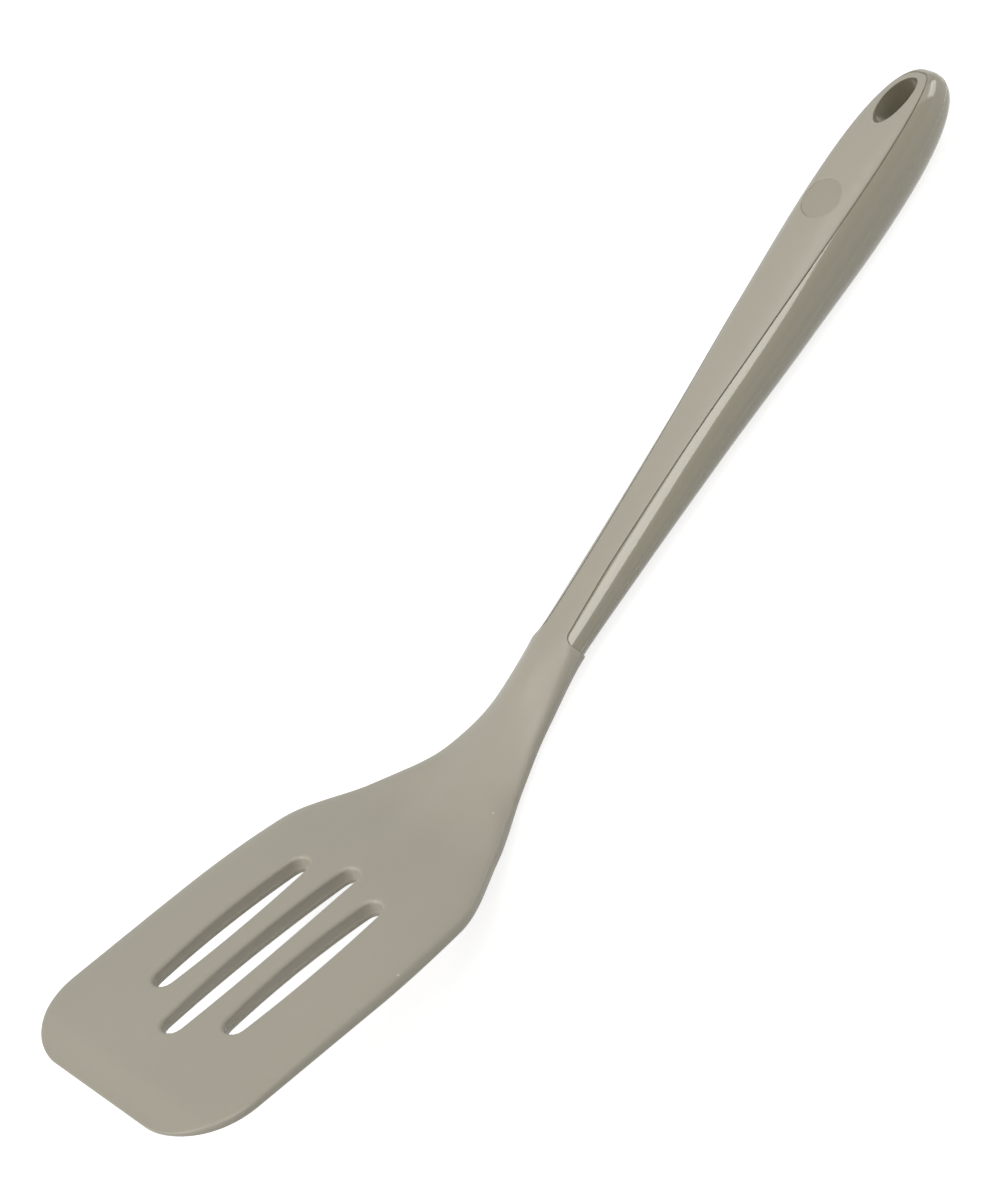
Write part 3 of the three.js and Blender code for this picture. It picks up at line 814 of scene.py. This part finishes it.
def plate(name, start, end, openings):
    """A flat plate inside the blade, a fixed distance from its rim and from the slots."""
    s = np.linspace(start, end, SIDE_POINTS)
    left = np.stack([s, blade_half(s) - PLATE_RIM], -1)
    across = np.linspace(1, -1, END_POINTS)[1:-1, None]
    rear = np.concatenate([np.full_like(across, end), across * left[-1, 1]], -1)
    front = np.concatenate([np.full_like(across, start), -across * left[0, 1]], -1)
    loops = [np.concatenate([left, rear, left[::-1] * (1, -1), front]), *openings]
    points, faces = fill(loops, PLATE_SPACING)
    shell = Shell()
    levels = (PLATE_HALF, -PLATE_HALF)
    for level in levels:
        shell.triangles(np.column_stack([points, np.full(len(points), level)]), faces)
    for loop in loops:
        ring = closed(loop)
        rows = [np.column_stack([ring, np.full(len(ring), level)]) for level in levels]
        shell.grid(np.stack(rows, 1))
    return shell.build(name)


openings = [slot_loop(*slot, SLOT_WALL) for slot in SLOTS]
plate_piece = plate("stiffening_plate", PLATE_START, FLEX_STRIP[0] - STRIP_GAP, openings)
tongue_piece = plate("bending_tongue", FLEX_STRIP[0] + STRIP_GAP, FLEX_STRIP[1] - STRIP_GAP, [])

# %% [markdown]
# ## Riding on the part
# The handle rides on the handle's body. The skin, the plate and the tongue cross the joint. Here their
# places are baked into their meshes, and the part's nodes that they stand for are hidden.

# %% Bodies and nodes
BEND_REACH = 19  # how far a bend would run to both sides of the joint; its ends are worked out but not used
BEND_FROM = place(FLEX_AT + BEND_REACH, 0, 0)
BEND_TO = place(FLEX_AT - BEND_REACH, 0, 0)
skin_nodes = ("blade_skin", "flex_skin", "neck_sleeve", "top_grip_panel", "bottom_grip_panel")
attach(handle_piece, "handle")
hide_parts("handle_core")
for piece, nodes, finish in (
    (skin_piece, skin_nodes, "silicone"),
    (plate_piece, ("blade_core",), "nylon"),
    (tongue_piece, ("flex_tongue",), "nylon"),
):
    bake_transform(piece)
    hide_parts(*nodes)

# %% [markdown]
# ## Finishes
# Both mouldings have one warm grey. What tells them apart is the surface: the silicone is matte, a
# little dusty and faintly grained, and the nylon is polished. Both show the same slow drift of tone and
# the same fine grain of the mould, so that is one node group, placed in each material with its own
# values. The floor of the round mark has less grain than the panel round it, and is a little darker and
# duller.

# %% The shared grain of a moulding
SCALES = ("Drift Scale", "Grain Scale", "Speck Scale")
SPECK_EDGE = (0.07, 0.03)  # a speck fades out between these shares of a cell
SPECK_CHANCE = 0.9  # only cells above this have one


def mould_grain():
    """A node group with a slow drift of tone, a fine grain and rare pale specks."""
    group = bpy.data.node_groups.new("mould grain", "ShaderNodeTree")
    for name in SCALES:
        group.interface.new_socket(name, in_out="INPUT", socket_type="NodeSocketFloat")
    group.interface.new_socket("Vector", in_out="INPUT", socket_type="NodeSocketVector")
    for name in ("Drift", "Grain", "Specks"):
        group.interface.new_socket(name, in_out="OUTPUT", socket_type="NodeSocketFloat")
    nodes, links = group.nodes, group.links
    inputs, outputs = nodes.new("NodeGroupInput"), nodes.new("NodeGroupOutput")
    for name, scale, detail in (("Drift", "Drift Scale", 3.0), ("Grain", "Grain Scale", 2.0)):
        noise = nodes.new("ShaderNodeTexNoise")
        noise.inputs["Detail"].default_value = detail
        links.new(inputs.outputs["Vector"], noise.inputs["Vector"])
        links.new(inputs.outputs[scale], noise.inputs["Scale"])
        links.new(noise.outputs["Fac"], outputs.inputs[name])
    cells = nodes.new("ShaderNodeTexVoronoi")
    links.new(inputs.outputs["Vector"], cells.inputs["Vector"])
    links.new(inputs.outputs["Speck Scale"], cells.inputs["Scale"])
    dot = nodes.new("ShaderNodeMapRange")
    dot.inputs["From Min"].default_value, dot.inputs["From Max"].default_value = SPECK_EDGE
    links.new(cells.outputs["Distance"], dot.inputs["Value"])
    chance = nodes.new("ShaderNodeSeparateColor")
    links.new(cells.outputs["Color"], chance.inputs["Color"])
    rare = nodes.new("ShaderNodeMath")
    rare.operation = "GREATER_THAN"
    rare.inputs[1].default_value = SPECK_CHANCE
    links.new(chance.outputs["Red"], rare.inputs[0])
    both = nodes.new("ShaderNodeMath")
    both.operation = "MULTIPLY"
    links.new(dot.outputs["Result"], both.inputs[0])
    links.new(rare.outputs["Value"], both.inputs[1])
    links.new(both.outputs["Value"], outputs.inputs["Specks"])
    return group


grain = mould_grain()
print("node group:", grain.name)

# %% The three finishes
GRAIN_HEIGHT = 0.0001
SHEEN_SPREAD = 0.5


def linear(red, green, blue):
    """A colour given in display values from 0 to 255."""
    values = [v / 255 for v in (red, green, blue)]
    return [v / 12.92 if v <= 0.04045 else ((v + 0.055) / 1.055) ** 2.4 for v in values] + [1]


def moulded(name, dark, light, speck, scales, roughness, bump, sheen, ior=1.5):
    """A moulded plastic: a drifting base colour, uneven gloss and a grained surface."""
    material = bpy.data.materials.new(name)
    material.use_nodes = True
    nodes, links = material.node_tree.nodes, material.node_tree.links
    shader = nodes["Principled BSDF"]
    where = nodes.new("ShaderNodeTexCoord")
    pattern = nodes.new("ShaderNodeGroup")
    pattern.node_tree = grain
    links.new(where.outputs["Object"], pattern.inputs["Vector"])
    for socket, value in zip(SCALES, scales):
        pattern.inputs[socket].default_value = value
    tone = nodes.new("ShaderNodeMix")
    tone.data_type = "RGBA"
    tone.inputs["A"].default_value = linear(*dark)
    tone.inputs["B"].default_value = linear(*light)
    links.new(pattern.outputs["Drift"], tone.inputs["Factor"])
    dust = nodes.new("ShaderNodeMix")
    dust.data_type = "RGBA"
    dust.inputs["B"].default_value = linear(*speck)
    links.new(tone.outputs["Result"], dust.inputs["A"])
    links.new(pattern.outputs["Specks"], dust.inputs["Factor"])
    links.new(dust.outputs["Result"], shader.inputs["Base Color"])
    gloss = nodes.new("ShaderNodeMapRange")
    gloss.inputs["To Min"].default_value, gloss.inputs["To Max"].default_value = roughness
    links.new(pattern.outputs["Drift"], gloss.inputs["Value"])
    links.new(gloss.outputs["Result"], shader.inputs["Roughness"])
    relief = nodes.new("ShaderNodeBump")
    relief.inputs["Strength"].default_value = bump
    relief.inputs["Distance"].default_value = GRAIN_HEIGHT
    links.new(pattern.outputs["Grain"], relief.inputs["Height"])
    links.new(relief.outputs["Normal"], shader.inputs["Normal"])
    shader.inputs["IOR"].default_value = ior
    shader.inputs["Sheen Weight"].default_value = sheen
    shader.inputs["Sheen Roughness"].default_value = SHEEN_SPREAD
    return material


silicone = moulded(
    "matte silicone", (168, 163, 149), (175, 170, 156), (200, 195, 181),
    scales=(25, 2600, 150), roughness=(0.36, 0.44), bump=0.35, sheen=0.06,
)
smooth_silicone = moulded(
    "smooth silicone", (161, 156, 142), (167, 162, 148), (174, 169, 155),
    scales=(25, 2600, 150), roughness=(0.4, 0.5), bump=0.1, sheen=0.03,
)
nylon = moulded(
    "glossy nylon", (148, 142, 122), (154, 148, 128), (172, 167, 151),
    scales=(40, 1800, 200), roughness=(0.09, 0.13), bump=0.02, sheen=0.0, ior=1.65,
)
print("materials:", silicone.name, smooth_silicone.name, nylon.name)

# %% Finishes on the pieces
MARK_MARGIN = 0.05  # the smooth floor ends this far inside the mark's edge
for piece in (handle_piece, plate_piece, tongue_piece):
    piece.data.materials.append(nylon)
for material in (silicone, smooth_silicone):
    skin_piece.data.materials.append(material)
mark_height = grip_heights(np.array(MARK_AT), np.array(0.0))[0]
mark_centre = Vector(place(MARK_AT, 0, mark_height))
for face in skin_piece.data.polygons:
    if (face.center - mark_centre).length < (MARK_RADIUS - MARK_MARGIN) / 1000:
        face.material_index = 1
print("smooth faces:", sum(face.material_index for face in skin_piece.data.polygons))

# %% [markdown]
# ## Floor, light and camera
# The tool lies on a plain white sweep, among four soft boxes. A broad one, overhead and towards the
# blade, models the silicone. A narrow one hangs above the camera's side, and its mirror image is the
# clean bright strip along the glossy side. Two small ones stand past the handle's end: one gives the
# end its gleam, the other lifts its near side. The white of the background comes from the floor and the
# world as the camera sees them, not from more light on the tool.

# %% World
AMBIENT = 0.16


def seen_directly(tree):
    """One for rays from the camera, from a mirror or through glass, else zero."""
    path = tree.nodes.new("ShaderNodeLightPath")
    total = None
    for kind in ("Is Camera Ray", "Is Glossy Ray", "Is Transmission Ray"):
        if total is None:
            total = path.outputs[kind]
            continue
        larger = tree.nodes.new("ShaderNodeMath")
        larger.operation = "MAXIMUM"
        tree.links.new(total, larger.inputs[0])
        tree.links.new(path.outputs[kind], larger.inputs[1])
        total = larger.outputs["Value"]
    return total


world = bpy.data.worlds.new("white room")
bpy.context.scene.world = world
world.use_nodes = True
sky = world.node_tree.nodes["Background"]
sky.inputs["Color"].default_value = (1, 1, 1, 1)
strength = world.node_tree.nodes.new("ShaderNodeMapRange")
strength.inputs["To Min"].default_value = AMBIENT
strength.inputs["To Max"].default_value = 1.0
world.node_tree.links.new(seen_directly(world.node_tree), strength.inputs["Value"])
world.node_tree.links.new(strength.outputs["Result"], sky.inputs["Strength"])

print("light from the world:", AMBIENT)

# %% Floor
FLOOR_COLOUR = 0.55
FLOOR_GLOW = 0.8  # makes up for the light that the sweep doesn't get
FLOOR_SIZE = 12
FLOOR_DROP = 0.0002
paper = bpy.data.materials.new("white sweep")
paper.use_nodes = True
tree = paper.node_tree
tree.nodes.remove(tree.nodes["Principled BSDF"])
matte = tree.nodes.new("ShaderNodeBsdfDiffuse")
matte.inputs["Color"].default_value = (FLOOR_COLOUR, FLOOR_COLOUR, FLOOR_COLOUR, 1)
glow = tree.nodes.new("ShaderNodeEmission")
level = tree.nodes.new("ShaderNodeMath")
level.operation = "MULTIPLY"
level.inputs[1].default_value = FLOOR_GLOW
tree.links.new(seen_directly(tree), level.inputs[0])
tree.links.new(level.outputs["Value"], glow.inputs["Strength"])
mixed = tree.nodes.new("ShaderNodeAddShader")
tree.links.new(matte.outputs["BSDF"], mixed.inputs[0])
tree.links.new(glow.outputs["Emission"], mixed.inputs[1])
tree.links.new(mixed.outputs["Shader"], tree.nodes["Material Output"].inputs["Surface"])
bpy.ops.mesh.primitive_plane_add(size=FLOOR_SIZE, location=(0, 0, -FLOOR_DROP))
floor = bpy.context.object
floor.name = "floor"
floor.data.materials.append(paper)
print("floor:", FLOOR_SIZE, "m wide")

# %% Soft boxes
LAMP_COLOUR = (1, 0.99, 0.96)
LAMPS = (  # name, place, what it faces, width, depth, radiance
    ("strip box", (0.115, -0.66, 1.0), (0.115, -0.66, 0), 0.32, 1.12, 4.4),
    ("overhead box", (-1.7, 0.25, 2.45), (0, 0, 0), 2.2, 2.2, 3.85),
    ("end box", (0.55, -0.16, 0.07), (0.158, 0, 0.015), 0.26, 0.14, 3.4),
    ("side box", (0.27, -0.06, 0.08), (0.15, 0, 0.015), 0.08, 0.1, 0.8),
)
for name, stands, faces, width, depth, radiance in LAMPS:
    lamp = bpy.data.lights.new(name, "AREA")
    lamp.shape = "RECTANGLE"
    lamp.size, lamp.size_y = width, depth
    lamp.energy = radiance * math.pi * width * depth
    lamp.color = LAMP_COLOUR
    box = bpy.data.objects.new(name, lamp)
    box.location = stands
    toward = Vector(faces) - Vector(stands)
    box.rotation_euler = toward.to_track_quat("-Z", "Y").to_euler()
    bpy.context.collection.objects.link(box)
    print(name, round(lamp.energy, 1), "watts")

# %% Camera
LENS = 133.83
SENSOR = 36
CAMERA_TURN = Vector((2.004085, -0.908121, 0.069752))  # axis times angle, seen from the blade
CAMERA_PLACE = Vector((-94.718, 116.69, 1047.335))  # the spine's start, seen from the camera, in mm
turn = np.array(Matrix.Rotation(CAMERA_TURN.length, 3, CAMERA_TURN.normalized()))
looks = tipped @ (turn.T * (1, -1, -1))
at = tipped @ (-turn.T @ np.array(CAMERA_PLACE)) / 1000 + shift
lens = bpy.data.cameras.new("camera")
lens.lens = LENS
lens.sensor_width = SENSOR
lens.clip_end = 50
camera = bpy.data.objects.new("camera", lens)
camera.matrix_world = Matrix.Translation(at) @ Matrix(looks).to_4x4()
bpy.context.collection.objects.link(camera)
bpy.context.scene.camera = camera
bpy.context.scene.view_settings.view_transform = "Standard"
print("camera at", np.round(at, 3))
